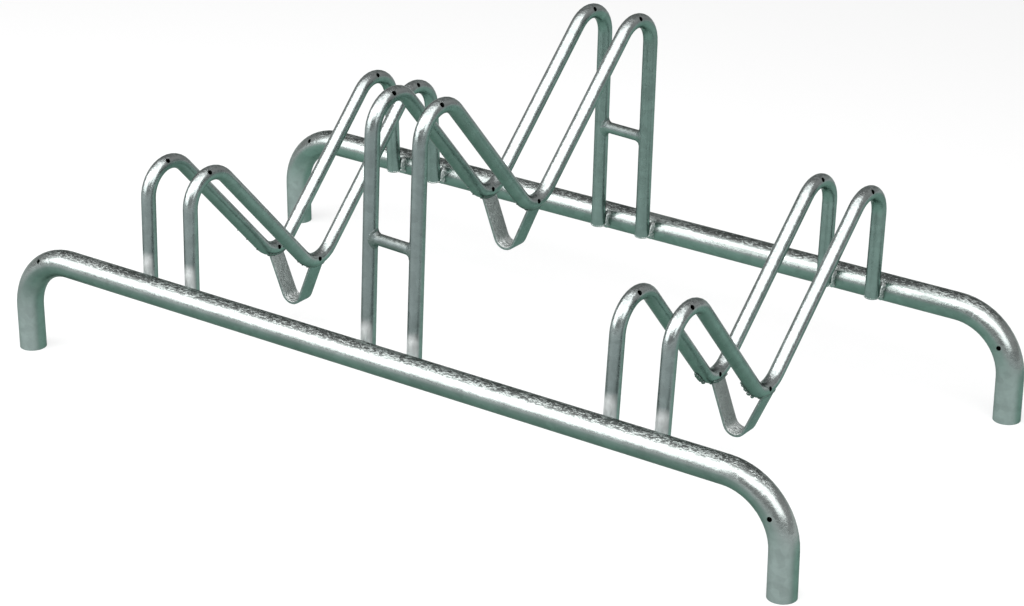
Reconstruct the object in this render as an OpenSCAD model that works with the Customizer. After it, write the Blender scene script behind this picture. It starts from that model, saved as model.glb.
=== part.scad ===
// Floor bike rack for three bicycles, welded from bent steel tube and hot-dip galvanised.
// X runs along the rails, Y from the front rail to the rear rail, Z up.
// The origin is on the ground under the middle of the rack.

/* [Base rails] */
// Outside diameter of the base rail tube
rail_d = 33.7; // [30:0.1:38]
// Wall of the base rail tube
rail_wall = 2.6; // [2:0.1:3.5]
// Distance from the middle of an outer bay's place to the foot beyond it
rail_overhang = 214; // [190:1:260]
// Distance between the front and the rear rail, centre to centre
rail_spacing = 528; // [500:1:580]
// Height of a rail's centreline above the ground
rail_height = 129; // [118:1:150]
// Radius of the centreline in the bend above a foot
rail_bend = 74; // [60:1:90]
// Vent hole drilled in each bend of a rail
rail_vent_d = 6; // [4:0.5:8]

/* [Bays] */
// Distance from one bay to the next, centre to centre
bay_pitch = 334; // [320:1:350]
// How far the middle bay is from the middle of the rails
bay_shift = 7; // [0:1:12]
// How far each bay leans to the right, in degrees, from left to right
bay_leans = [0, 2, 2.5];
// How far each bay is turned in plan, in degrees, from left to right
bay_turns = [-0.7, 0, 0.7];

/* [Hoops] */
// Outside diameter of the hoop tube
hoop_d = 18; // [16:0.5:20]
// Wall of the hoop tube
hoop_wall = 2; // [1.5:0.1:2.5]
// Distance between the two hoops of a bay, centre to centre
hoop_spacing = 67; // [60:1:75]
// Height of the lower ends of the legs above the ground
leg_end_z = 124; // [114:1:126]
// How far a leg leans inwards from its foot to its shoulder
leg_inset = 6; // [0:1:12]
// Height at which leg and bar of a low hoop would meet at the front
low_shoulder_z = 325; // [300:1:350]
// Height at which leg and bar of a high hoop would meet at the front
high_shoulder_z = 485; // [460:1:510]
// How much lower the shoulder at the rear is, from the left to the right bay
rear_drops = [9, 13, 7];
// Depth of the V from the front shoulder to the point where the bars would meet, from left to right
valley_depths = [247, 250, 241];
// How far the V lies in front of the middle, from left to right
valley_offsets = [8, 8, 16];
// Radius of the centreline in the shoulders
shoulder_bend = 37; // [30:1:42]
// Radius of the centreline in the V
valley_bend = 36; // [30:1:42]
// Vent hole drilled in each bend of a hoop
hoop_vent_d = 6; // [4:0.5:7]

/* [Tyre straps] */
// Width of the flat bar
strap_w = 25; // [20:1:30]
// Thickness of the flat bar
strap_t = 4; // [3:0.5:6]
// How much further apart the ends of a strap are than the middle lines of its hoops
strap_spread = 4; // [0:0.5:6]
// How far each strap sits to the right of the middle of its bay, from left to right
strap_shifts = [2, 2, 4.5];
// How far the strap's middle line hangs below the middle line of its hoops
strap_depth = 64; // [55:1:70]
// Radius of the middle line in the strap's round bottom
strap_bend = 14; // [11:1:18]
// How far each strap sits in front of the lowest point of its hoops, from left to right
strap_offsets = [3, 3, 1];

/* [Bridges] */
// Diameter of the round bar that ties the legs of the high hoops
bridge_d = 14; // [11:0.5:15]
// Height of the bridge between the front legs above the ground
bridge_front_z = 264.5; // [230:1:300]
// Height of the bridge between the rear legs above the ground
bridge_rear_z = 259.5; // [230:1:290]

/* [Welds] */
// Radius of the weld beads between a leg and its rail
leg_weld_r = 4; // [3.5:0.1:4.5]
// Length of the weld beads along a leg
leg_weld_length = 18; // [12:1:20]
// Radius of the weld bead between a strap and its hoop
strap_weld_r = 4.2; // [3:0.1:5]
// Radius of the weld bead round the end of a bridge
bridge_weld_r = 3; // [2.5:0.1:4]

/* [Hidden] */
$fn = 48;

// Bays, counted from the middle one
left_bay = -1;
middle_bay = 0;
right_bay = 1;
// Sides along X and along Y
left = -1;
right = 1;
front = -1;
rear = 1;
// Gap between parts before they are welded
root_gap = 0.1;
// How far a cut runs past the face it opens
overrun = 1;
// Where a rail's vent holes sit in its bends, in degrees above level, at the left and at the right foot
rail_vent_angles = [61, 33];
// How far they are drilled from the front of the tube towards the outside of the bend, in degrees
rail_vent_tilts = [35, 8];
// How far a hoop's vent holes are behind the crown of their bend, in degrees, from the front to the rear bend
hoop_vent_angles = [-11, -4, 1];
// How far above level they are drilled, in degrees
hoop_vent_tilts = [39, 17, 32];
// Height and width of the faint ring that the bending die leaves at each end of a bend in a hoop or strap
mark_height = hoop_wall / 20;
mark_width = hoop_wall / 2;
// Place of the beads beside a leg, from where the leg and the rail come closest
weld_out = 6.8;
weld_in = 1.8;
// Part of a bead's radius that is left at its ends
taper_share = 0.6;
// Finish of the tubes, of the flat bars and of the weld metal
zinc = [0.64, 0.68, 0.67];
dull_zinc = [0.52, 0.55, 0.54];
weld_zinc = [0.58, 0.62, 0.61];

rail_y = rail_spacing / 2;
rail_end_x = bay_pitch + rail_overhang;
foot_y = rail_y - rail_d / 2 - hoop_d / 2 - root_gap;
shoulder_y = foot_y - leg_inset;

function bay_x(bay) = bay_shift + bay * bay_pitch;
function bay_value(values, bay) = values[bay - left_bay];
function shoulder_z(bay) = bay == middle_bay ? high_shoulder_z : low_shoulder_z;
function rear_shoulder_z(bay) = shoulder_z(bay) - bay_value(rear_drops, bay);
function valley_z(bay) = shoulder_z(bay) - bay_value(valley_depths, bay);

// Points where the straight lengths of a hoop would meet, as [y, z]
function hoop_points(bay) = [
    [-foot_y, leg_end_z],
    [-shoulder_y, shoulder_z(bay)],
    [-bay_value(valley_offsets, bay), valley_z(bay)],
    [shoulder_y, rear_shoulder_z(bay)],
    [foot_y, leg_end_z]
];
hoop_radii = [0, shoulder_bend, valley_bend, shoulder_bend, 0];

// Points where the straight lengths of a rail would meet, as [x, z]
rail_points = [
    [-rail_end_x, 0],
    [-rail_end_x, rail_height],
    [rail_end_x, rail_height],
    [rail_end_x, 0]
];
rail_radii = [0, rail_bend, rail_bend, 0];

// A bent path: heading of each straight length, turn at each corner, and where each bend starts and ends
function heading(points, i) = atan2(points[i + 1].y - points[i].y, points[i + 1].x - points[i].x);
function direction(angle) = [cos(angle), sin(angle)];
function wrap(angle) = angle > 180 ? angle - 360 : angle < -180 ? angle + 360 : angle;
function turn(points, i) = wrap(heading(points, i) - heading(points, i - 1));
function tangent(points, radii, i) = radii[i] == 0 ? 0 : radii[i] * tan(abs(turn(points, i)) / 2);
function run_start(points, radii, i) = points[i] + tangent(points, radii, i) * direction(heading(points, i));
function run_end(points, radii, i) = points[i] - tangent(points, radii, i) * direction(heading(points, i - 1));
function bend_centre(points, radii, i) =
    run_end(points, radii, i) + radii[i] * direction(heading(points, i - 1) + 90 * sign(turn(points, i)));

// The same path with both open ends longer, for the bore of the tube
function lengthened(points) =
    let (last = len(points) - 1)
    [for (i = [0:last])
        i == 0 ? points[i] - overrun * direction(heading(points, 0))
        : i == last ? points[i] + overrun * direction(heading(points, last - 1))
        : points[i]];

// Height of a hoop's centreline at the bottom of its V
function valley_floor(bay) = bend_centre(hoop_points(bay), hoop_radii, 2).y - valley_bend;
// Height of the front or rear shoulder of a hoop
function side_shoulder_z(bay, side) = side == rear ? rear_shoulder_z(bay) : shoulder_z(bay);
// Where the centreline of a leg is at a given height
function leg_y(bay, side, z) =
    side * (foot_y - leg_inset * (z - leg_end_z) / (side_shoulder_z(bay, side) - leg_end_z));

// A round bar bent along a path in the XY plane, with or without the die's marks
module bent_bar(points, radii, d, marked) {
    last = len(points) - 1;
    for (i = [0:last - 1]) {
        start = run_start(points, radii, i);
        end = run_end(points, radii, i + 1);
        translate([start.x, start.y, 0])
            rotate([0, 90, heading(points, i)])
            cylinder(d = d, h = norm(end - start));
        if (marked && i > 0) bend_mark(start, heading(points, i), d);
        if (marked && i < last - 1) bend_mark(end, heading(points, i), d);
    }
    for (i = [1:last - 1]) {
        centre = bend_centre(points, radii, i);
        swing = turn(points, i);
        from = heading(points, i - 1) - 90 * sign(swing) + min(swing, 0);
        translate([centre.x, centre.y, 0])
            rotate([0, 0, from])
            rotate_extrude(angle = abs(swing))
            translate([radii[i], 0])
            circle(d = d);
    }
}

// The faint ring at one end of a bend
module bend_mark(place, angle, d) {
    translate([place.x, place.y, 0])
        rotate([0, 90, angle])
        cylinder(d = d + 2 * mark_height, h = mark_width, center = true);
}

// A tube with open ends
module bent_tube(points, radii, d, wall, marked) {
    difference() {
        bent_bar(points, radii, d, marked);
        bent_bar(lengthened(points), radii, d - 2 * wall, marked);
    }
}

// Puts what is drawn in the rack's frame, for a hoop in the plane x = 0, at its place in a bay
module at_hoop(bay, side) {
    translate([bay_x(bay) + side * hoop_spacing / 2, 0, rail_height])
        rotate([0, bay_value(bay_leans, bay), bay_value(bay_turns, bay)])
        translate([0, 0, -rail_height])
        children();
}

// Puts what is drawn in the rack's frame, for a bay whose middle is at x = 0, at its place
module at_bay(bay) {
    translate([bay_x(bay), 0, rail_height])
        rotate([0, bay_value(bay_leans, bay), 0])
        translate([0, 0, -rail_height])
        children();
}

// Turns a drawing in the XY plane so that it stands in the YZ plane
module across() {
    rotate([90, 0, 90]) children();
}

// Turns a drawing in the XY plane so that it stands in the XZ plane
module along() {
    rotate([90, 0, 0]) children();
}

// The bit that drills a hole from a point inside a tube in the given direction
module drill_bit(from, aim, d, depth) {
    translate(from)
        rotate([0, acos(aim.z), atan2(aim.y, aim.x)])
        cylinder(d = d, h = depth);
}

// A base rail, its two feet and its vent holes
module rail(side) {
    color(zinc)
    difference() {
        translate([0, side * rail_y, 0])
            along()
            bent_tube(rail_points, rail_radii, rail_d, rail_wall, false);
        for (i = [0, 1]) {
            end = i == 0 ? left : right;
            outward = [end * cos(rail_vent_angles[i]), 0, sin(rail_vent_angles[i])];
            middle = [end * (rail_end_x - rail_bend), side * rail_y, rail_height - rail_bend];
            aim = [0, -cos(rail_vent_tilts[i]), 0] + sin(rail_vent_tilts[i]) * outward;
            drill_bit(middle + rail_bend * outward, aim, rail_vent_d, rail_d);
        }
    }
}

// The straight length of a rail as a solid bar, for shaping what is welded to it
module rail_core(side) {
    translate([0, side * rail_y, rail_height])
        rotate([0, 90, 0])
        cylinder(d = rail_d, h = 2 * (rail_end_x - rail_bend), center = true);
}

// A hoop as a solid bar
module hoop_core(bay, d) {
    across() bent_bar(hoop_points(bay), hoop_radii, d, true);
}

// An M-shaped hoop with a vent hole in each of its three bends
module hoop(bay, side) {
    points = hoop_points(bay);
    color(zinc)
    at_hoop(bay, side)
    difference() {
        across() bent_tube(points, hoop_radii, hoop_d, hoop_wall, true);
        for (i = [1, 2, 3]) {
            centre = bend_centre(points, hoop_radii, i);
            up = i == 2 ? -1 : 1;
            crown = hoop_radii[i] * [0, sin(hoop_vent_angles[i - 1]), up * cos(hoop_vent_angles[i - 1])];
            tilt = hoop_vent_tilts[i - 1];
            drill_bit([0, centre.x, centre.y] + crown, [cos(tilt), 0, sin(tilt)], hoop_vent_d, hoop_d);
        }
    }
}

// A flat bar bent to a V with a round bottom, before its ends are shaped to the hoops
module strap_blank(bay) {
    valley = bend_centre(hoop_points(bay), hoop_radii, 2);
    offset = bay_value(strap_offsets, bay);
    half_span = (hoop_spacing + strap_spread) / 2;
    rise = strap_depth - strap_bend;
    reach = norm([half_span, rise]);
    limb = sqrt(pow(reach, 2) - pow(strap_bend, 2));
    open_angle = atan2(rise, half_span) - acos(strap_bend / reach);
    at_bay(bay)
        translate([bay_value(strap_shifts, bay), valley.x - offset + strap_w / 2, valley_floor(bay) - rise])
        along() {
            rotate([0, 0, 180 - open_angle])
                rotate_extrude(angle = 180 + 2 * open_angle)
                translate([strap_bend - strap_t / 2, 0])
                square([strap_t, strap_w]);
            for (side = [left, right])
                mirror([side == left ? 1 : 0, 0, 0])
                rotate([0, 0, open_angle])
                translate([strap_bend, 0, strap_w / 2])
                strap_limb(limb);
        }
}

// A straight side of a strap, with the faint line that the bending tool leaves at its lower end
module strap_limb(length) {
    translate([-strap_t / 2, 0, -strap_w / 2])
        cube([strap_t, length, strap_w]);
    cube([strap_t + 2 * mark_height, mark_width, strap_w + 2 * mark_height], center = true);
}

// A tyre strap between the two hoops of a bay
module strap(bay) {
    color(dull_zinc)
    difference() {
        strap_blank(bay);
        for (side = [left, right])
            at_hoop(bay, side) hoop_core(bay, hoop_d + 2 * root_gap);
    }
}

// A round bar as long as the distance between the two legs' centrelines
module bridge_blank(side) {
    at_bridge(side)
        cylinder(d = bridge_d, h = hoop_spacing, center = true);
}

// Puts what is drawn round the Z axis at the place of a bridge
module at_bridge(side) {
    z = side == front ? bridge_front_z : bridge_rear_z;
    at_bay(middle_bay)
        translate([0, leg_y(middle_bay, side, z), z])
        rotate([0, 90, 0])
        children();
}

// A bridge between the legs of the high hoops
module bridge(side) {
    color(zinc)
    difference() {
        bridge_blank(side);
        for (end = [left, right])
            at_hoop(middle_bay, end) hoop_core(middle_bay, hoop_d + 2 * root_gap);
    }
}

// A straight weld bead with tapered ends
module weld_rod(r, length) {
    half = length / 2;
    slope = r * taper_share;
    rotate_extrude()
        polygon([[0, -half], [slope, -half], [r, slope - half], [r, half - slope], [slope, half], [0, half]]);
}

// Two weld beads at each of a bay's four legs, one on either side, where it lies against its rail
module leg_welds(bay) {
    color(weld_zinc)
    for (side = [left, right], row = [front, rear], edge = [left, right])
        difference() {
            at_hoop(bay, side)
                translate([edge * weld_out, row * (rail_y - rail_d / 2 - weld_in), rail_height])
                weld_rod(leg_weld_r, leg_weld_length);
            at_hoop(bay, side) hoop_core(bay, hoop_d);
            rail_core(row);
        }
}

// A weld bead all round each end of a strap
module strap_welds(bay) {
    centre = bend_centre(hoop_points(bay), hoop_radii, 2);
    bead_bend = valley_bend + hoop_d / 2;
    half_angle = asin((strap_w + strap_weld_r) / 2 / bead_bend);
    forward = asin(bay_value(strap_offsets, bay) / bead_bend);
    color(weld_zinc)
    for (side = [left, right])
        difference() {
            at_hoop(bay, side)
                across()
                translate([centre.x, centre.y, 0])
                rotate([0, 0, -90 - forward - half_angle])
                rotate_extrude(angle = 2 * half_angle)
                translate([bead_bend, 0])
                circle(r = strap_weld_r);
            at_hoop(bay, side) hoop_core(bay, hoop_d);
            strap_blank(bay);
        }
}

// Weld beads round both ends of a bridge
module bridge_welds(side) {
    color(weld_zinc)
    for (end = [left, right])
        difference() {
            at_bridge(side)
                translate([0, 0, end * (hoop_spacing - hoop_d) / 2])
                rotate_extrude()
                translate([bridge_d / 2, 0])
                circle(r = bridge_weld_r);
            bridge_blank(side);
            at_hoop(middle_bay, end) hoop_core(middle_bay, hoop_d);
        }
}

rail(front);  // rail_front
rail(rear);  // rail_rear
hoop(left_bay, left);  // left_bay_hoop_left
hoop(left_bay, right);  // left_bay_hoop_right
hoop(middle_bay, left);  // middle_bay_hoop_left
hoop(middle_bay, right);  // middle_bay_hoop_right
hoop(right_bay, left);  // right_bay_hoop_left
hoop(right_bay, right);  // right_bay_hoop_right
strap(left_bay);  // left_bay_strap
strap(middle_bay);  // middle_bay_strap
strap(right_bay);  // right_bay_strap
bridge(front);  // bridge_front
bridge(rear);  // bridge_rear
leg_welds(left_bay);  // left_bay_leg_welds
leg_welds(middle_bay);  // middle_bay_leg_welds
leg_welds(right_bay);  // right_bay_leg_welds
strap_welds(left_bay);  // left_bay_strap_welds
strap_welds(middle_bay);  // middle_bay_strap_welds
strap_welds(right_bay);  // right_bay_strap_welds
bridge_welds(front);  // bridge_front_welds
bridge_welds(rear);  // bridge_rear_welds
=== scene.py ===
import math
import random

import bpy
from mathutils import Matrix, Vector


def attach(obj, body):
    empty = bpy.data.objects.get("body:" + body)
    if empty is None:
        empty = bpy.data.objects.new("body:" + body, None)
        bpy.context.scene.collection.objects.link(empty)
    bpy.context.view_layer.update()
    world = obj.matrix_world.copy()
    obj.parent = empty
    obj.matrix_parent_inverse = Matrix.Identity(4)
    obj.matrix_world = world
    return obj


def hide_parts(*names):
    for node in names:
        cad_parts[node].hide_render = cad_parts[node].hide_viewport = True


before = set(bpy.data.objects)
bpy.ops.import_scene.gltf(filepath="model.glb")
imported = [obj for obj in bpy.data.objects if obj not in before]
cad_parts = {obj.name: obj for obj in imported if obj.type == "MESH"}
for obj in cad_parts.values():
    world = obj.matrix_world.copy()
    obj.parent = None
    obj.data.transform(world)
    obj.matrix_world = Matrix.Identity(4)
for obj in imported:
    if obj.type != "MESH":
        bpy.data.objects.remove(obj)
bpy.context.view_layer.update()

# Two base rails of 33.7 mm steel tube with a 2.6 mm wall. Each is bent down at both ends to a foot that
# stands on its open end. A round hole in each bend lets the zinc run in and out when the rack is dipped.
rail_radius = 0.0337 / 2
rail_wall = 0.0026
rail_reach = 0.548
rail_height = 0.129
rail_y = 0.264
rail_bend = 0.074
tube_sides = 56
vent_radius = 0.003
drill_sides = 24
rail_drill_depth = 0.03
# A vent: the end of its rail, how far up the bend it is, and how far it is turned outwards, in degrees.
rail_vents = [(-1, 61, 35), (1, 33, 8)]
# How far apart the rings of a rail's mesh are, and how near two points are taken as one.
rail_step = 0.008
same_point = 0.00001


def linear(code):
    """A colour written as sRGB hex, as the linear numbers that Blender wants."""
    parts = [int(code[i : i + 2], 16) / 255 for i in (1, 3, 5)]
    return [p / 12.92 if p <= 0.04045 else ((p + 0.055) / 1.055) ** 2.4 for p in parts] + [1.0]


def add_node(material, kind, settings=None, values=None, links=None):
    """One shader node: its settings, the numbers on its sockets, and what is linked into them."""
    node = material.node_tree.nodes.new(kind)
    for name, value in (settings or {}).items():
        setattr(node, name, value)
    for name, value in (values or {}).items():
        node.inputs[name].default_value = value
    for name, source in (links or {}).items():
        material.node_tree.links.new(source, node.inputs[name])
    return node


def start_piece(name):
    """Gives the object that was just added its name, and starts editing it with everything selected."""
    piece = bpy.context.object
    piece.name = name
    piece.data.name = name
    bpy.ops.object.mode_set(mode="EDIT")
    bpy.ops.mesh.select_all(action="SELECT")
    return piece


def apply_all(piece):
    """Puts the piece's place into its mesh and applies its modifiers in order."""
    bpy.ops.object.select_all(action="DESELECT")
    piece.select_set(True)
    bpy.context.view_layer.objects.active = piece
    bpy.ops.object.transform_apply(location=True, rotation=True, scale=True)
    for modifier in list(piece.modifiers):
        bpy.ops.object.modifier_apply(modifier=modifier.name)


def pull_along(points, radii, step):
    """Pulls what is selected along corners, in metres: straight runs are extruded and each bend is spun."""
    points = [Vector(p) for p in points]
    at = points[0]
    for i in range(1, len(points)):
        ahead = (points[i] - points[i - 1]).normalized()
        tangent = 0.0
        if i < len(points) - 1:
            after = (points[i + 1] - points[i]).normalized()
            swing = ahead.angle(after)
            tangent = radii[i] * math.tan(swing / 2)
        run = points[i] - ahead * tangent - at
        pulls = max(1, round(run.length / step))
        for _ in range(pulls):
            bpy.ops.mesh.extrude_region_move(TRANSFORM_OT_translate={"value": run / pulls})
        at = at + run
        if i < len(points) - 1:
            axis = ahead.cross(after).normalized()
            centre = at + axis.cross(ahead) * radii[i]
            turns = max(8, round(swing * radii[i] / step))
            bpy.ops.mesh.spin(steps=turns, angle=-swing, center=centre, axis=axis)
            at = points[i] + after * tangent
    bpy.ops.mesh.select_all(action="SELECT")
    bpy.ops.mesh.remove_doubles(threshold=same_point)
    bpy.ops.mesh.normals_make_consistent(inside=False)
    bpy.ops.object.mode_set(mode="OBJECT")


def bend_tube(name, points, radii, radius, wall, place, step):
    """A tube drawn as a ring at its first end, then pulled straight and spun round each bend in turn.
    The points are corners in metres, and place puts the finished tube where it belongs."""
    first = Vector(points[1]) - Vector(points[0])
    turned = first.to_track_quat("Z", "X").to_euler()
    bpy.ops.object.select_all(action="DESELECT")
    bpy.ops.mesh.primitive_circle_add(
        vertices=tube_sides, radius=radius, fill_type="NOTHING", location=points[0], rotation=turned
    )
    piece = start_piece(name)
    pull_along(points, radii, step)
    ring = piece.data.polygons[0]
    if ring.normal.dot(piece.matrix_world.inverted() @ Vector(points[0]) - ring.center) > 0:
        piece.data.flip_normals()
    piece.matrix_world = place @ piece.matrix_world
    thick = piece.modifiers.new("wall", "SOLIDIFY")
    thick.thickness = wall
    thick.offset = -1
    thick.use_even_offset = True
    apply_all(piece)
    return piece


def drill(piece, centre, direction, radius, depth):
    """Cuts one round hole through the near wall, from just outside the tube."""
    turned = direction.to_track_quat("Z", "X").to_euler()
    bpy.ops.object.select_all(action="DESELECT")
    bpy.ops.mesh.primitive_cylinder_add(
        vertices=drill_sides,
        radius=radius,
        depth=depth,
        location=centre + direction * depth / 2,
        rotation=turned,
    )
    bit = bpy.context.object
    cut = piece.modifiers.new("hole", "BOOLEAN")
    cut.operation = "DIFFERENCE"
    cut.solver = "EXACT"
    cut.object = bit
    apply_all(piece)
    bpy.data.objects.remove(bit)


def smooth(piece, degrees):
    """Shades round surfaces smooth and keeps edges that turn by more than this."""
    bpy.ops.object.select_all(action="DESELECT")
    piece.select_set(True)
    bpy.context.view_layer.objects.active = piece
    bpy.ops.object.shade_smooth_by_angle(angle=math.radians(degrees))


# Hot-dip galvanised steel, as on all of the rack: a grey zinc skin with light and shade painted into its
# colour, lighter on the tops and a darker, painted green shade below, behind and to the right. Crystals and
# blotches show in it, a grain of 2 to 4 mm breaks up the edges of the light, and dark flecks of ash from the
# bath stick to the tops.
crystal_width = 0.009
blotch_width = 0.033
# The side away from the lamps, right and behind, that the painted green shade turns towards.
shaded_side = (0.81, 0.58, 0.0)


def galvanise(name, tones, rough, run, grain, relief, ash, painted_foot_light, painted_green_share=1.0):
    """A zinc skin. A surface faces by the height of its normal (1 up, 0 level, -1 down), and tones go from
    the lowest to the highest; they paint light and shade into the colour, lighter on tops, darker below.
    Run draws the grain out along X, grain is the width of one of its waves in metres, relief is how deep the
    waves are on sides and on tops, ash is how dark the flecks are, and painted_green_share is how much
    painted green shade there is. painted_foot_light is a painted highlight, paler and rougher, on the front
    near the
    lower end of a tube: the heights where it starts and is full, its share, its tone, how much rougher it is,
    and its last Y."""
    zinc = bpy.data.materials.new(name)
    zinc.use_nodes = True
    zinc.node_tree.nodes.clear()
    gently = {"interpolation_type": "SMOOTHSTEP"}

    # Where a point is on the rack, which way its surface faces, and the patterns that it lies in.
    at = add_node(zinc, "ShaderNodeTexCoord").outputs["Object"]
    along = add_node(zinc, "ShaderNodeMapping", {}, {"Scale": (run, 1.0, 1.0)}, {"Vector": at})
    crystals = add_node(
        zinc,
        "ShaderNodeTexVoronoi",
        {"feature": "SMOOTH_F1"},
        {"Scale": 1 / crystal_width, "Smoothness": 0.3},
        {"Vector": at},
    )
    blotches = add_node(
        zinc,
        "ShaderNodeTexNoise",
        {},
        {"Scale": 1 / blotch_width, "Detail": 6.0, "Roughness": 0.65},
        {"Vector": along.outputs["Vector"]},
    )
    flecks = add_node(
        zinc,
        "ShaderNodeTexNoise",
        {},
        {"Scale": 1 / grain, "Detail": 4.0, "Roughness": 0.7},
        {"Vector": along.outputs["Vector"]},
    )
    crystal_tone = add_node(zinc, "ShaderNodeSeparateColor", {}, {}, {"Color": crystals.outputs["Color"]})
    cloud = add_node(
        zinc,
        "ShaderNodeMath",
        {"operation": "MULTIPLY_ADD"},
        {1: 0.25},
        {0: crystal_tone.outputs["Red"], 2: blotches.outputs["Fac"]},
    )
    facing = add_node(zinc, "ShaderNodeNewGeometry").outputs["Normal"]
    upward = add_node(zinc, "ShaderNodeSeparateXYZ", {}, {}, {"Vector": facing})
    high = add_node(zinc, "ShaderNodeSeparateXYZ", {}, {}, {"Vector": at})

    # The tone of the zinc by the way that it faces, which paints light and shade into the colour, and how far
    # crystals and blotches lift or lower it.
    facing_painted_light = add_node(
        zinc, "ShaderNodeMapRange", {}, {"From Min": -1.0, "From Max": 1.0}, {"Value": upward.outputs["Z"]}
    )
    skin = add_node(zinc, "ShaderNodeValToRGB", {}, {}, {"Fac": facing_painted_light.outputs["Result"]})
    stops = skin.color_ramp.elements
    stops[0].position, stops[0].color = (tones[0][0] + 1) / 2, linear(tones[0][1])
    stops[1].position, stops[1].color = (tones[-1][0] + 1) / 2, linear(tones[-1][1])
    for rise, code in tones[1:-1]:
        stops.new((rise + 1) / 2).color = linear(code)
    shade = add_node(
        zinc,
        "ShaderNodeMapRange",
        {},
        {"From Min": 0.35, "From Max": 0.9, "To Min": 0.85, "To Max": 1.17},
        {"Value": cloud.outputs["Value"]},
    )

    # How much of the painted highlight at the foot there is at a point.
    in_reach = add_node(
        zinc, "ShaderNodeMath", {"operation": "LESS_THAN"}, {1: painted_foot_light["last_y"]}, {0: high.outputs["Y"]}
    )
    forward = add_node(
        zinc,
        "ShaderNodeMapRange",
        gently,
        {"From Min": -0.25, "From Max": -0.75},
        {"Value": upward.outputs["Y"], "To Max": in_reach.outputs["Value"]},
    )
    rough_painted_foot_mask = add_node(
        zinc,
        "ShaderNodeMapRange",
        gently,
        {"From Min": painted_foot_light["start_z"], "From Max": painted_foot_light["full_z"]},
        {"Value": high.outputs["Z"], "To Max": forward.outputs["Result"]},
    )

    # Ash on the tops, in clumps.
    dusty = add_node(
        zinc,
        "ShaderNodeMapRange",
        gently,
        {"From Min": 0.62, "From Max": 0.9},
        {"Value": upward.outputs["Z"]},
    )
    clumps = add_node(
        zinc,
        "ShaderNodeMath",
        {"operation": "MULTIPLY_ADD"},
        {1: 0.5},
        {0: blotches.outputs["Fac"], 2: flecks.outputs["Fac"]},
    )
    patchy = add_node(
        zinc,
        "ShaderNodeMapRange",
        gently,
        {"From Min": 0.70, "From Max": 0.77, "To Max": ash},
        {"Value": clumps.outputs["Value"]},
    )
    stuck = add_node(
        zinc,
        "ShaderNodeMath",
        {"operation": "MULTIPLY"},
        {},
        {0: dusty.outputs["Result"], 1: patchy.outputs["Result"]},
    )
    clear = add_node(
        zinc, "ShaderNodeMath", {"operation": "SUBTRACT"}, {0: 1.0}, {1: stuck.outputs["Value"]}
    )
    dimmed = add_node(
        zinc,
        "ShaderNodeMath",
        {"operation": "MULTIPLY"},
        {},
        {0: clear.outputs["Value"], 1: shade.outputs["Result"]},
    )

    # Painted green shade behind and on the sides away from the light, under the painted highlight at the
    # foot.
    behind = add_node(
        zinc,
        "ShaderNodeMapRange",
        {},
        {"From Min": -0.1, "From Max": 0.2, "To Max": 0.45 * painted_green_share},
        {"Value": high.outputs["Y"]},
    )
    painted_green_behind = add_node(
        zinc,
        "ShaderNodeMapRange",
        gently,
        {"From Min": 0.25, "From Max": 0.0},
        {"Value": upward.outputs["Z"], "To Max": behind.outputs["Result"]},
    )
    away = add_node(zinc, "ShaderNodeVectorMath", {"operation": "DOT_PRODUCT"}, {1: shaded_side}, {0: facing})
    under = add_node(
        zinc,
        "ShaderNodeMapRange",
        gently,
        {"From Min": 0.3, "From Max": 0.05, "To Max": 0.7 * painted_green_share},
        {"Value": upward.outputs["Z"]},
    )
    painted_green_away = add_node(
        zinc,
        "ShaderNodeMapRange",
        gently,
        {"From Min": 0.4, "From Max": 0.85},
        {"Value": away.outputs["Value"], "To Max": under.outputs["Result"]},
    )
    painted_green_mask = add_node(
        zinc,
        "ShaderNodeMath",
        {"operation": "MAXIMUM"},
        {},
        {0: painted_green_behind.outputs["Result"], 1: painted_green_away.outputs["Result"]},
    )
    painted_green_mixed = add_node(
        zinc,
        "ShaderNodeMix",
        {"data_type": "RGBA"},
        {7: linear("#64857a")},
        {0: painted_green_mask.outputs["Value"], 6: skin.outputs["Color"]},
    )
    # Mixes the painted highlight at the foot into the colour.
    painted_foot_share = add_node(
        zinc, "ShaderNodeMath", {"operation": "MULTIPLY"}, {1: painted_foot_light["share"]}, {0: rough_painted_foot_mask.outputs["Result"]}
    )
    painted_foot_mixed = add_node(
        zinc,
        "ShaderNodeMix",
        {"data_type": "RGBA"},
        {7: linear(painted_foot_light["tone"])},
        {0: painted_foot_share.outputs["Value"], 6: painted_green_mixed.outputs[2]},
    )
    toned = add_node(
        zinc,
        "ShaderNodeVectorMath",
        {"operation": "SCALE"},
        {},
        {0: painted_foot_mixed.outputs[2], "Scale": dimmed.outputs["Value"]},
    )

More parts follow.
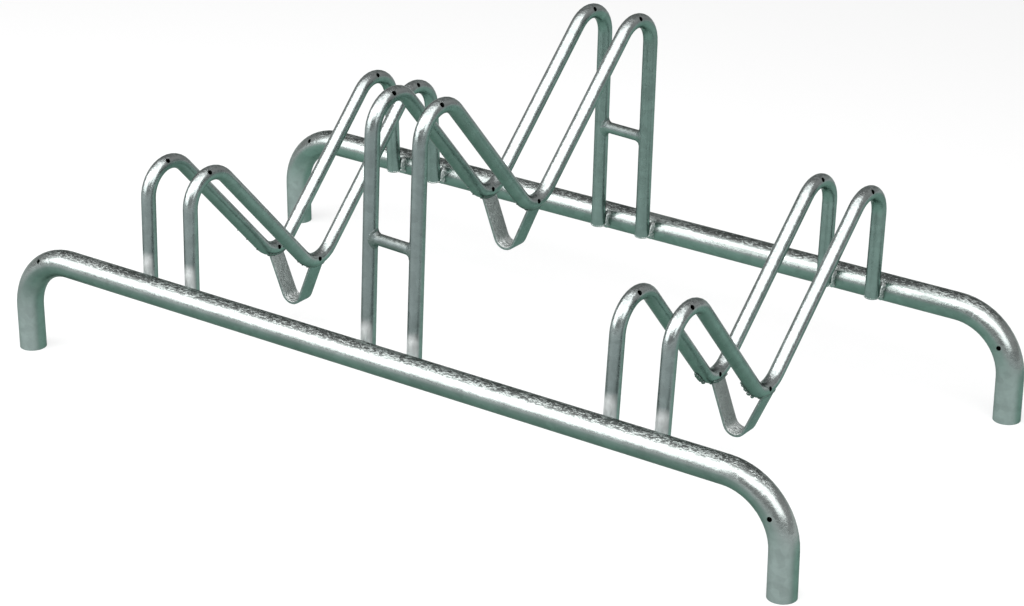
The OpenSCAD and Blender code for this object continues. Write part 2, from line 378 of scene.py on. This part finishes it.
    # How rough and how uneven the skin is.
    duller = add_node(
        zinc,
        "ShaderNodeMapRange",
        gently,
        {"From Min": 0.0, "From Max": 0.4, "To Min": rough - 0.1, "To Max": rough - 0.22},
        {"Value": upward.outputs["Z"]},
    )
    polish = add_node(
        zinc,
        "ShaderNodeMath",
        {"operation": "MULTIPLY_ADD"},
        {1: 0.45},
        {0: flecks.outputs["Fac"], 2: duller.outputs["Result"]},
    )
    sheen = add_node(
        zinc,
        "ShaderNodeMath",
        {"operation": "MULTIPLY_ADD"},
        {1: painted_foot_light["rougher"]},
        {0: rough_painted_foot_mask.outputs["Result"], 2: polish.outputs["Value"]},
    )
    coarser = add_node(
        zinc,
        "ShaderNodeMapRange",
        gently,
        {"From Min": 0.62, "From Max": 0.88, "To Min": relief[0], "To Max": relief[1]},
        {"Value": upward.outputs["Z"]},
    )
    fine = add_node(
        zinc,
        "ShaderNodeBump",
        {},
        {"Strength": 0.6},
        {"Height": flecks.outputs["Fac"], "Distance": coarser.outputs["Result"]},
    )
    broad = add_node(
        zinc,
        "ShaderNodeBump",
        {},
        {"Strength": 0.4, "Distance": 0.0012},
        {"Height": cloud.outputs["Value"], "Normal": fine.outputs["Normal"]},
    )
    surface = add_node(
        zinc,
        "ShaderNodeBsdfPrincipled",
        {},
        {"Metallic": 1.0, "Specular Tint": (0.50, 0.55, 0.53, 1.0)},
        {
            "Base Color": toned.outputs["Vector"],
            "Roughness": sheen.outputs["Value"],
            "Normal": broad.outputs["Normal"],
        },
    )
    add_node(zinc, "ShaderNodeOutputMaterial", {}, {}, {"Surface": surface.outputs["BSDF"]})
    return zinc


# The rail's grain is drawn out along it. Its tones paint light and shade by facing, and the front of its
# feet has painted light on it that makes them a little paler.
rail_tones = [(-0.7, "#526a60"), (-0.3, "#536c63"), (0.0, "#62756f"), (0.2, "#868f8d"), (0.55, "#a6acaa")]
rail_painted_foot_light = {
    "start_z": 0.11, "full_z": 0.05, "share": 0.6, "tone": "#96a3a1", "rougher": 0.05, "last_y": 1.0
}
rail_zinc = galvanise(
    "galvanised_rail_tube",
    rail_tones,
    rough=0.22,
    run=0.45,
    grain=0.0025,
    relief=(0.0003, 0.0024),
    ash=0.75,
    painted_foot_light=rail_painted_foot_light,
)

rail_corners = [
    (-rail_reach, 0, 0), (-rail_reach, 0, rail_height), (rail_reach, 0, rail_height), (rail_reach, 0, 0)
]
rail_bends = [0, rail_bend, rail_bend, 0]
for side, y in (("front", -rail_y), ("rear", rail_y)):
    place = Matrix.Translation((0, y, 0))
    rail = bend_tube(
        f"galvanised_rail_{side}", rail_corners, rail_bends, rail_radius, rail_wall, place, rail_step
    )
    for end, round_bend, turned_out in rail_vents:
        angle, tilt = math.radians(round_bend), math.radians(turned_out)
        outward = Vector((end * math.cos(angle), 0, math.sin(angle)))
        middle = Vector((end * (rail_reach - rail_bend), y, rail_height - rail_bend)) + outward * rail_bend
        aim = Vector((0, -math.cos(tilt), 0)) + outward * math.sin(tilt)
        drill(rail, middle, aim, vent_radius, rail_drill_depth)
    smooth(rail, 35)
    rail.data.materials.append(rail_zinc)
    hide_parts(f"rail_{side}")
    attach(rail, "root")

# Six M-shaped hoops of 18 mm steel tube, bent cold in one plane and welded by their legs to the inner sides
# of the rails. They stand in three pairs, the middle pair higher, and each pair leans a little.
hoop_radius = 0.009
hoop_wall = 0.002
hoop_gap = 0.067
hoop_step = 0.006
hoop_drill_depth = 0.018
bay_pitch = 0.334
bay_shift = 0.007
leg_clearance = 0.0001
leg_splay = 0.006
foot_y = rail_y - rail_radius - hoop_radius - leg_clearance
shoulder_y = foot_y - leg_splay
leg_end_z = 0.124
shoulder_bend = 0.037
valley_bend = 0.036
# A vent: the corner it is at, how far it is turned up from the right and round its bend, in degrees.
hoop_vents = [(1, 39, -11), (2, 17, -4), (3, 32, 1)]
# A valley is its place in Y and its height. Lean and turn are in degrees.
bays = {
    "left": {
        "step": -1, "front_z": 0.325, "valley": (-0.008, 0.078), "rear_z": 0.316, "lean": 0.0, "turn": -0.7
    },
    "middle": {
        "step": 0, "front_z": 0.485, "valley": (-0.008, 0.235), "rear_z": 0.472, "lean": 2.0, "turn": 0.0
    },
    "right": {
        "step": 1, "front_z": 0.325, "valley": (-0.016, 0.084), "rear_z": 0.318, "lean": 2.5, "turn": 0.7
    },
}


def hoop_place(bay, side):
    """Where a hoop that is drawn at the middle stands in its bay, with the bay's lean and the turn in plan.
    With side 0 it is the middle of the bay itself."""
    middle = Vector((bay_shift + bays[bay]["step"] * bay_pitch + side * hoop_gap / 2, 0, rail_height))
    turn = math.radians(bays[bay]["turn"]) if side else 0.0
    lean = math.radians(bays[bay]["lean"])
    turned = Matrix.Rotation(turn, 4, "Z") @ Matrix.Rotation(lean, 4, "Y")
    return Matrix.Translation(middle) @ turned @ Matrix.Translation((0, 0, -rail_height))


def hoop_corners(bay):
    """Corners of the bent shape, front leg first."""
    shape = bays[bay]
    front = (0, -shoulder_y, shape["front_z"])
    rear = (0, shoulder_y, shape["rear_z"])
    return [(0, -foot_y, leg_end_z), front, (0, *shape["valley"]), rear, (0, foot_y, leg_end_z)]


def bend_middle(corners, i, radius):
    """Centre of the bend at a corner."""
    here = Vector(corners[i])
    back = (Vector(corners[i - 1]) - here).normalized()
    on = (Vector(corners[i + 1]) - here).normalized()
    return here + (back + on).normalized() * radius / math.sin(back.angle(on) / 2)


# The hoops' tones paint light and shade by facing, and the front legs have a painted highlight, pale and
# on rougher zinc, just above the rail.
hoop_tones = [(-0.6, "#4f6a60"), (-0.25, "#5e776f"), (0.0, "#717d7c"), (0.25, "#8b9493"), (0.55, "#a6acab")]
hoop_painted_foot_light = {
    "start_z": 0.170, "full_z": 0.152, "share": 0.8, "tone": "#f4f6f6", "rougher": 0.2, "last_y": -0.2
}
hoop_zinc = galvanise(
    "galvanised_hoop_tube",
    hoop_tones,
    rough=0.2,
    run=1.0,
    grain=0.0033,
    relief=(0.0003, 0.0010),
    ash=0.4,
    painted_foot_light=hoop_painted_foot_light,
)

hoop_bends = [0, shoulder_bend, valley_bend, shoulder_bend, 0]
for bay in bays:
    corners = hoop_corners(bay)
    for side, name in ((-1, "left"), (1, "right")):
        place = hoop_place(bay, side)
        hoop = bend_tube(
            f"galvanised_hoop_{bay}_{name}", corners, hoop_bends, hoop_radius, hoop_wall, place, hoop_step
        )
        for i, turned_up, round_bend in hoop_vents:
            middle = bend_middle(corners, i, hoop_bends[i])
            reach = -valley_bend if i == 2 else shoulder_bend
            tilt, swing = math.radians(turned_up), math.radians(round_bend)
            crown = middle + Vector((0, math.sin(swing) * abs(reach), math.cos(swing) * reach))
            aim = Vector((math.cos(tilt), 0, math.sin(tilt)))
            drill(hoop, place @ crown, place.to_3x3() @ aim, vent_radius, hoop_drill_depth)
        smooth(hoop, 35)
        hoop.data.materials.append(hoop_zinc)
        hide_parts(f"{bay}_bay_hoop_{name}")
        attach(hoop, "root")

# Three tyre straps of 25 by 4 mm flat bar, each bent to a V with a round bottom and welded under its two
# hoops. The rolled edges are slightly round, and the rough rolled faces took a dull, mottled coat of zinc.
strap_width = 0.025
strap_thickness = 0.004
strap_bend = 0.014
strap_drop = 0.064
strap_spread = 0.004
strap_step = 0.004
rolled_edge = 0.0011
# The strap's ends are cut out with a ring as round as the V above, a little thinner so that they touch.
cope_press = 0.0006
cope_steps_round = 96
cope_steps_across = 40
# How far a strap sits to the right of its bay's middle, and how far forward of the V.
strap_places = {"left": (0.002, 0.003), "middle": (0.002, 0.003), "right": (0.0045, 0.001)}
# The strap's tones paint light and shade by facing; its palest tone is a painted highlight inside the bottom.
strap_tones = [(-0.6, "#56716a"), (-0.2, "#627c75"), (0.1, "#747d7b"), (0.5, "#a0a7a5"), (0.8, "#e2e5e4")]
no_painted_foot_light = {"start_z": 0.0, "full_z": -0.1, "share": 0.0, "tone": "#ffffff", "rougher": 0.0, "last_y": 1.0}
strap_zinc = galvanise(
    "galvanised_flat_bar",
    strap_tones,
    rough=0.32,
    run=1.0,
    grain=0.0043,
    relief=(0.006, 0.006),
    ash=0.2,
    painted_foot_light=no_painted_foot_light,
)

# The corner that the round bottom cuts off lies this far under the hoops' lowest points.
half_span = (hoop_gap + strap_spread) / 2
slope = strap_bend / half_span
drop = strap_drop - strap_bend
rest = drop**2 - (slope * half_span) ** 2
strap_corner = (drop + math.sqrt(drop**2 - (1 - slope**2) * rest)) / (1 - slope**2)

for bay in bays:
    corners = hoop_corners(bay)
    low = bend_middle(corners, 2, valley_bend)
    floor_z = low.z - valley_bend
    strap_x, strap_forward = strap_places[bay]
    edge_y = low.y - strap_forward
    route = [
        (strap_x + half_span, edge_y, floor_z),
        (strap_x, edge_y, floor_z - strap_corner),
        (strap_x - half_span, edge_y, floor_z),
    ]
    first = Vector(route[1]) - Vector(route[0])
    turned = first.to_track_quat("Z", "Y").to_euler()
    bpy.ops.object.select_all(action="DESELECT")
    bpy.ops.mesh.primitive_plane_add(size=1, location=route[0], rotation=turned)
    bpy.context.object.scale = (strap_width, strap_thickness, 1)
    bpy.ops.object.transform_apply(location=False, rotation=False, scale=True)
    strap = start_piece(f"galvanised_strap_{bay}")
    pull_along(route, [0, strap_bend, 0], strap_step)
    strap.matrix_world = hoop_place(bay, 0) @ strap.matrix_world
    rolled = strap.modifiers.new("rolled_edges", "BEVEL")
    rolled.width = rolled_edge
    rolled.segments = 3
    rolled.limit_method = "ANGLE"
    rolled.angle_limit = math.radians(50)
    apply_all(strap)
    for side in (-1, 1):
        bpy.ops.object.select_all(action="DESELECT")
        bpy.ops.mesh.primitive_torus_add(
            major_segments=cope_steps_round,
            minor_segments=cope_steps_across,
            major_radius=valley_bend,
            minor_radius=hoop_radius - cope_press,
            location=low,
            rotation=(0, math.pi / 2, 0),
        )
        notch = bpy.context.object
        notch.matrix_world = hoop_place(bay, side) @ notch.matrix_world
        cope = strap.modifiers.new("cope", "BOOLEAN")
        cope.operation = "DIFFERENCE"
        cope.solver = "EXACT"
        cope.object = notch
        apply_all(strap)
        bpy.data.objects.remove(notch)
    smooth(strap, 40)
    strap.data.materials.append(strap_zinc)
    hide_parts(f"{bay}_bay_strap")
    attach(strap, "root")

# Two bridges of 14 mm round bar tie the high pair together, one between its front legs and one between its
# rear legs. Each is cut square and welded all round at both ends. Solid bar takes a thick, dull coat.
bridge_radius = 0.007
bridge_sides = 40
bridge_press = 0.0003
# Side of the rack, height of the bar, and height of the shoulder that its legs run up to.
bridges = {"front": (-1, 0.2645, bays["middle"]["front_z"]), "rear": (1, 0.2595, bays["middle"]["rear_z"])}
# The bar's tones paint light and shade by facing, darker and greener below.
bridge_tones = [(-0.6, "#526b62"), (0.0, "#65726e"), (0.4, "#687070"), (0.8, "#808684")]
bridge_zinc = galvanise(
    "galvanised_round_bar",
    bridge_tones,
    rough=0.5,
    run=1.0,
    grain=0.0033,
    relief=(0.0006, 0.0006),
    ash=0.5,
    painted_foot_light=no_painted_foot_light,
)


def leg_y(side, z, shoulder_z):
    """Where the middle of a leg is at a height, measured from the middle of the rack."""
    return side * (foot_y - leg_splay * (z - leg_end_z) / (shoulder_z - leg_end_z))


for name, (side, z, shoulder_z) in bridges.items():
    bpy.ops.object.select_all(action="DESELECT")
    bpy.ops.mesh.primitive_cylinder_add(
        vertices=bridge_sides,
        radius=bridge_radius,
        depth=hoop_gap - 2 * hoop_radius + 2 * bridge_press,
        location=(0, leg_y(side, z, shoulder_z), z),
        rotation=(0, math.pi / 2, 0),
    )
    bridge = bpy.context.object
    bridge.name = f"galvanised_bridge_{name}"
    bridge.matrix_world = hoop_place("middle", 0) @ bridge.matrix_world
    apply_all(bridge)
    smooth(bridge, 40)
    bridge.data.materials.append(bridge_zinc)
    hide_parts(f"bridge_{name}")
    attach(bridge, "root")

# Weld beads, laid by hand: short lumps of steel that overlap like coins, softened by the zinc. Two run up
# each leg beside its rail, one goes round each end of a strap, and one round each end of a bridge.
# Weld tones paint light and shade by facing; low front beads get painted light, and little painted green.
weld_tones = [(-0.6, "#627d74"), (-0.25, "#708981"), (0.1, "#b2b9b7"), (0.5, "#b4bab8")]
weld_painted_foot_light = {
    "start_z": 0.16, "full_z": 0.13, "share": 0.4, "tone": "#c0c4c3", "rougher": 0.15, "last_y": 0.0
}
weld_zinc = galvanise(
    "galvanised_weld",
    weld_tones,
    rough=0.4,
    run=1.0,
    grain=0.0026,
    relief=(0.0006, 0.0006),
    ash=0.3,
    painted_foot_light=weld_painted_foot_light,
    painted_green_share=0.15,
)
# Darker zinc for the strap beads and the drops; its tones paint light and shade by facing.
darker_tones = [(-0.6, "#40584f"), (0.0, "#4e635b"), (0.5, "#7c8684")]
darker_zinc = galvanise(
    "darker_zinc",
    darker_tones,
    rough=0.45,
    run=1.0,
    grain=0.0026,
    relief=(0.0006, 0.0006),
    ash=0.3,
    painted_foot_light=no_painted_foot_light,
)
melt_grain = 0.0005
hand = random.Random(7)


def lay_weld(name, spots, zinc):
    """One piece from many small lumps, each (place, radius), which run together as the zinc smooths them."""
    bpy.ops.object.select_all(action="DESELECT")
    place, size = spots[0]
    bpy.ops.mesh.primitive_ico_sphere_add(subdivisions=2, radius=size, location=place)
    weld = start_piece(name)
    for place, size in spots[1:]:
        bpy.ops.mesh.primitive_ico_sphere_add(subdivisions=2, radius=size, location=place)
    bpy.ops.object.mode_set(mode="OBJECT")
    melt = weld.modifiers.new("melt", "REMESH")
    melt.mode = "VOXEL"
    melt.voxel_size = melt_grain
    flow = weld.modifiers.new("flow", "SMOOTH")
    flow.factor = 0.5
    flow.iterations = 7
    apply_all(weld)
    bpy.ops.object.shade_smooth()
    weld.data.materials.append(zinc)
    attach(weld, "root")
    return weld


def wobble(size):
    """A small random part of a length, in metres."""
    return hand.uniform(-size, size)


# The lumps across a bead beside a leg, from the leg to the rail: how far from the leg's middle and from the
# rail's skin, radius, and how far the hand strays in place and in size.
bead_lumps = [
    (0.0086, -0.0044, 0.0019, 0.0002, 0.0002),
    (0.0090, -0.0020, 0.0023, 0.0003, 0.0002),
    (0.0074, -0.0008, 0.0032, 0.0003, 0.0002),
    (0.0096, 0.0002, 0.0021, 0.0004, 0.0003),
]
bead_start_z = 0.1215
bead_rise = 0.0016
bead_taper = 0.0008
# Lumps up a bead on the front rail (-1) and, a little further up, on the rear rail (1).
beads_up = {-1: 10, 1: 12}
# The rim of zinc round a leg's end, and the short run of lumps where the end meets the rail.
rim_radius = 0.0088
rim_lumps = 20
rim_lift = 0.0009
rim_size = 0.0012
end_lumps = 7
end_pitch = 0.0017
end_height = 0.1225
end_stand = 0.0012
end_size = 0.0026
for bay in bays:
    lumps = []
    for side in (-1, 1):
        place = hoop_place(bay, side)
        for row in (-1, 1):
            for i in range(beads_up[row]):
                z = bead_start_z + bead_rise * i + wobble(0.0002)
                skin_y = rail_y - math.sqrt(rail_radius**2 - (z - rail_height) ** 2)
                taper = bead_taper if i == beads_up[row] - 1 else 0
                for edge in (-1, 1):
                    spots = []
                    for out, back, size, stray, uneven in bead_lumps:
                        spot = Vector((edge * (out + wobble(stray)), row * (skin_y + back), z))
                        spots.append(place @ spot)
                    for spot, (out, back, size, stray, uneven) in zip(spots, bead_lumps):
                        lumps.append((spot, size - taper + wobble(uneven)))
            for i in range(rim_lumps):
                turn = 2 * math.pi * i / rim_lumps
                z = leg_end_z + rim_lift + wobble(0.0003)
                spot = Vector((rim_radius * math.cos(turn), row * foot_y + rim_radius * math.sin(turn), z))
                lumps.append((place @ spot, rim_size + wobble(0.0003)))
            for i in range(end_lumps):
                x = end_pitch * (i - end_lumps // 2) + wobble(0.0002)
                spot = Vector((x, row * (rail_y - rail_radius - end_stand), end_height + wobble(0.0004)))
                lumps.append((place @ spot, end_size + wobble(0.0003)))
    weld = lay_weld(f"weld_beads_legs_{bay}", lumps, weld_zinc)
    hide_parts(f"{bay}_bay_leg_welds")

# A strap's bead runs along both faces of its end, in lumps that follow the round of the hoop above.
strap_bead_lumps = 18
strap_bead_inset = 0.0031
strap_bead_overrun = 0.002
strap_bead_offset = 0.0022
strap_bead_reach = 0.0024
strap_bead_limit = 0.0075
strap_bead_sink = 0.0004
strap_bead_size = 0.0019
arc = valley_bend + hoop_radius
for bay in bays:
    lumps = []
    low = bend_middle(hoop_corners(bay), 2, valley_bend)
    strap_x, strap_forward = strap_places[bay]
    for side in (-1, 1):
        place = hoop_place(bay, side)
        inward = strap_x + side * strap_spread / 2 - side * strap_bead_inset
        for face in (-1, 1):
            off_middle = min(abs(inward + face * strap_bead_reach), strap_bead_limit)
            around = hoop_radius - math.sqrt(hoop_radius**2 - off_middle**2)
            for i in range(strap_bead_lumps):
                y = -strap_forward + (i / (strap_bead_lumps - 1) - 0.5) * (strap_width + strap_bead_overrun)
                x = inward + face * strap_bead_offset + wobble(0.0003)
                z = low.z - math.sqrt(arc**2 - y**2) + around + strap_bead_sink
                lumps.append((place @ Vector((x, low.y + y, z)), strap_bead_size + wobble(0.0003)))
    weld = lay_weld(f"weld_beads_strap_{bay}", lumps, darker_zinc)
    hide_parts(f"{bay}_bay_strap_welds")

# Drops of zinc that set under the falling bars as the rack was lifted from the bath. Each is given as how
# far it is before the V bend, where it is round the tube in degrees (270 is below) and its radius.
drops = {
    ("right", -1): [
        (0.014, 262, 0.0020),
        (0.011, 268, 0.0029),
        (0.008, 258, 0.0025),
        (0.006, 272, 0.0032),
        (0.003, 264, 0.0026),
        (0.001, 274, 0.0030),
        (-0.002, 266, 0.0023),
        (-0.006, 276, 0.0026),
        (-0.010, 268, 0.0019),
    ],
    ("right", 1): [
        (0.022, 234, 0.0017),
        (0.018, 240, 0.0022),
        (0.013, 238, 0.0016),
        (0.009, 244, 0.0025),
        (0.004, 240, 0.0019),
        (-0.001, 250, 0.0026),
        (-0.005, 244, 0.0019),
        (-0.009, 258, 0.0023),
    ],
    ("left", -1): [(0.052, 250, 0.0010), (0.030, 262, 0.0012), (0.004, 270, 0.0014)],
    ("left", 1): [(0.040, 258, 0.0010), (0.002, 266, 0.0013), (-0.006, 272, 0.0012)],
    ("middle", -1): [(0.090, 262, 0.0010), (0.012, 268, 0.0014), (-0.004, 262, 0.0012)],
    ("middle", 1): [(0.060, 256, 0.0011), (0.006, 270, 0.0014), (0.001, 262, 0.0012)],
}
drop_stand_share = 0.2
for bay in bays:
    corners = [Vector(c) for c in hoop_corners(bay)]
    down_bar = (corners[2] - corners[1]).normalized()
    swing = down_bar.angle(corners[3] - corners[2])
    bend_start = corners[2] - down_bar * valley_bend * math.tan(swing / 2)
    low = bend_middle(corners, 2, valley_bend)
    inside = (low - bend_start).normalized()
    lumps = []
    for side in (-1, 1):
        for before, around, size in drops[(bay, side)]:
            turn = math.radians(around)
            bent = Matrix.Rotation(max(0, -before) / valley_bend, 3, "X")
            centre = low + bent @ (bend_start - low) - down_bar * max(0, before)
            aim = Vector((math.cos(turn), 0, 0)) + bent @ inside * math.sin(turn)
            spot = centre + aim * (hoop_radius + size * drop_stand_share)
            lumps.append((hoop_place(bay, side) @ spot, size))
    lay_weld(f"zinc_drops_{bay}", lumps, darker_zinc)

# The fillet of a bridge weld is hollow, 7 mm along the bar and 7 mm up the leg. It is laid in rings of lumps
# that grow towards the leg, narrow to its width and sink a little into it.
fillet = 0.007
fillet_rings = 6
fillet_lumps = 26
fillet_size = 0.0022
fillet_growth = 0.0008
fillet_narrowing_share = 0.45
fillet_limit = 0.0082
fillet_sink = 0.0014
fillet_deeper = 0.0010
place = hoop_place("middle", 0)
for name, (side, z, shoulder_z) in bridges.items():
    lumps = []
    middle_y = leg_y(side, z, shoulder_z)
    for end in (-1, 1):
        for step in range(fillet_rings):
            reach = fillet * step / (fillet_rings - 1)
            flare = fillet - math.sqrt(fillet**2 - (fillet - reach) ** 2)
            size = fillet_size + fillet_growth * flare / fillet
            for i in range(fillet_lumps):
                turn = 2 * math.pi * (i + step / 2) / fillet_lumps
                out = bridge_radius + flare - size + wobble(0.0002)
                across = out * math.cos(turn) * (1 - fillet_narrowing_share * flare / fillet)
                off_middle = min(abs(across), fillet_limit)
                skin_x = hoop_gap / 2 - math.sqrt(hoop_radius**2 - off_middle**2)
                x = skin_x - reach + fillet_sink + fillet_deeper * flare / fillet
                spot = Vector((end * x, middle_y + across, z + out * math.sin(turn)))
                lumps.append((place @ spot, size + wobble(0.0002)))
    weld = lay_weld(f"weld_beads_bridge_{name}", lumps, bridge_zinc)
    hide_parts(f"bridge_{name}_welds")

# The studio: one pale floor, large soft panels in front, overhead and to the right, and a pale surround.
bpy.ops.object.select_all(action="DESELECT")
bpy.ops.mesh.primitive_plane_add(size=16, location=(0, 0, 0))
floor = bpy.context.object
floor.name = "studio_floor"
paper = bpy.data.materials.new("pale_paper_floor")
paper.use_nodes = True
paper.node_tree.nodes.clear()
rays = add_node(paper, "ShaderNodeLightPath")
seen = add_node(
    paper,
    "ShaderNodeMath",
    {"operation": "MAXIMUM"},
    {},
    {0: rays.outputs["Is Camera Ray"], 1: rays.outputs["Is Glossy Ray"]},
)
shade = add_node(
    paper,
    "ShaderNodeMix",
    {"data_type": "RGBA"},
    {6: linear("#cfd0ce"), 7: linear("#f0f0f0")},
    {0: seen.outputs["Value"]},
)
matt = add_node(paper, "ShaderNodeBsdfDiffuse", {}, {}, {"Color": shade.outputs[2]})
white = add_node(paper, "ShaderNodeEmission", {}, {"Color": (1, 1, 1, 1), "Strength": 1.0})
backlit = add_node(paper, "ShaderNodeMath", {"operation": "MULTIPLY"}, {1: 0.7}, {0: seen.outputs["Value"]})
sheet = add_node(
    paper,
    "ShaderNodeMixShader",
    {},
    {},
    {0: backlit.outputs["Value"], 1: matt.outputs["BSDF"], 2: white.outputs["Emission"]},
)
add_node(paper, "ShaderNodeOutputMaterial", {}, {}, {"Surface": sheet.outputs["Shader"]})
floor.data.materials.append(paper)

world = bpy.data.worlds.new("pale_studio")
bpy.context.scene.world = world
world.use_nodes = True
world.node_tree.nodes.clear()
direct = add_node(world, "ShaderNodeLightPath")
brightness = add_node(
    world, "ShaderNodeMath", {"operation": "MAXIMUM"}, {1: 0.45}, {0: direct.outputs["Is Camera Ray"]}
)
glow = add_node(
    world, "ShaderNodeBackground", {}, {"Color": (1, 1, 1, 1)}, {"Strength": brightness.outputs["Value"]}
)
add_node(world, "ShaderNodeOutputWorld", {}, {}, {"Surface": glow.outputs["Background"]})

# Each panel is its place, width and length in metres, and its power in watts. All face the rack.
panels = {
    "soft_front_panel": ((-1.3, -1.7, 1.35), 2.5, 2.2, 52),
    "soft_top_panel": ((0.1, -0.5, 1.9), 3.2, 1.8, 40),
    "soft_right_panel": ((0.8, -2.0, 2.15), 1.8, 1.4, 22),
    "soft_side_panel": ((1.9, -0.7, 1.3), 1.4, 1.4, 15),
}
rack_middle = Vector((0, 0, 0.2))
for name, (spot, width, length, power) in panels.items():
    bpy.ops.object.light_add(type="AREA", location=spot)
    lamp = bpy.context.object
    lamp.name = name
    lamp.data.shape = "RECTANGLE"
    lamp.data.size = width
    lamp.data.size_y = length
    lamp.data.energy = power
    lamp.rotation_euler = (rack_middle - lamp.location).to_track_quat("-Z", "Y").to_euler()

# The camera stands in front and to the right, above the rack, as the photograph was taken. Its angles are in
# radians, its place in metres, and its focal length in widths of one pixel of the photograph.
yaw, pitch, roll = 0.620, 0.413, -0.002
camera_place = (1.818672, -2.536539, 1.472884)
focal_length_pixels = 2799.14
photograph_width_pixels = 1024
film_width_mm = 36
ahead = Vector((-math.sin(yaw) * math.cos(pitch), math.cos(yaw) * math.cos(pitch), -math.sin(pitch)))
level = Vector((math.cos(yaw), math.sin(yaw), 0))
down = ahead.cross(level)
across = level * math.cos(roll) + down * math.sin(roll)
below = down * math.cos(roll) - level * math.sin(roll)
bpy.ops.object.camera_add(location=camera_place)
camera = bpy.context.object
camera.name = "photograph_camera"
camera.data.sensor_fit = "HORIZONTAL"
camera.data.sensor_width = film_width_mm
camera.data.lens = focal_length_pixels * film_width_mm / photograph_width_pixels
camera.rotation_euler = Matrix((across, -below, -ahead)).transposed().to_euler()
bpy.context.scene.camera = camera
bpy.context.scene.view_settings.view_transform = "Standard"
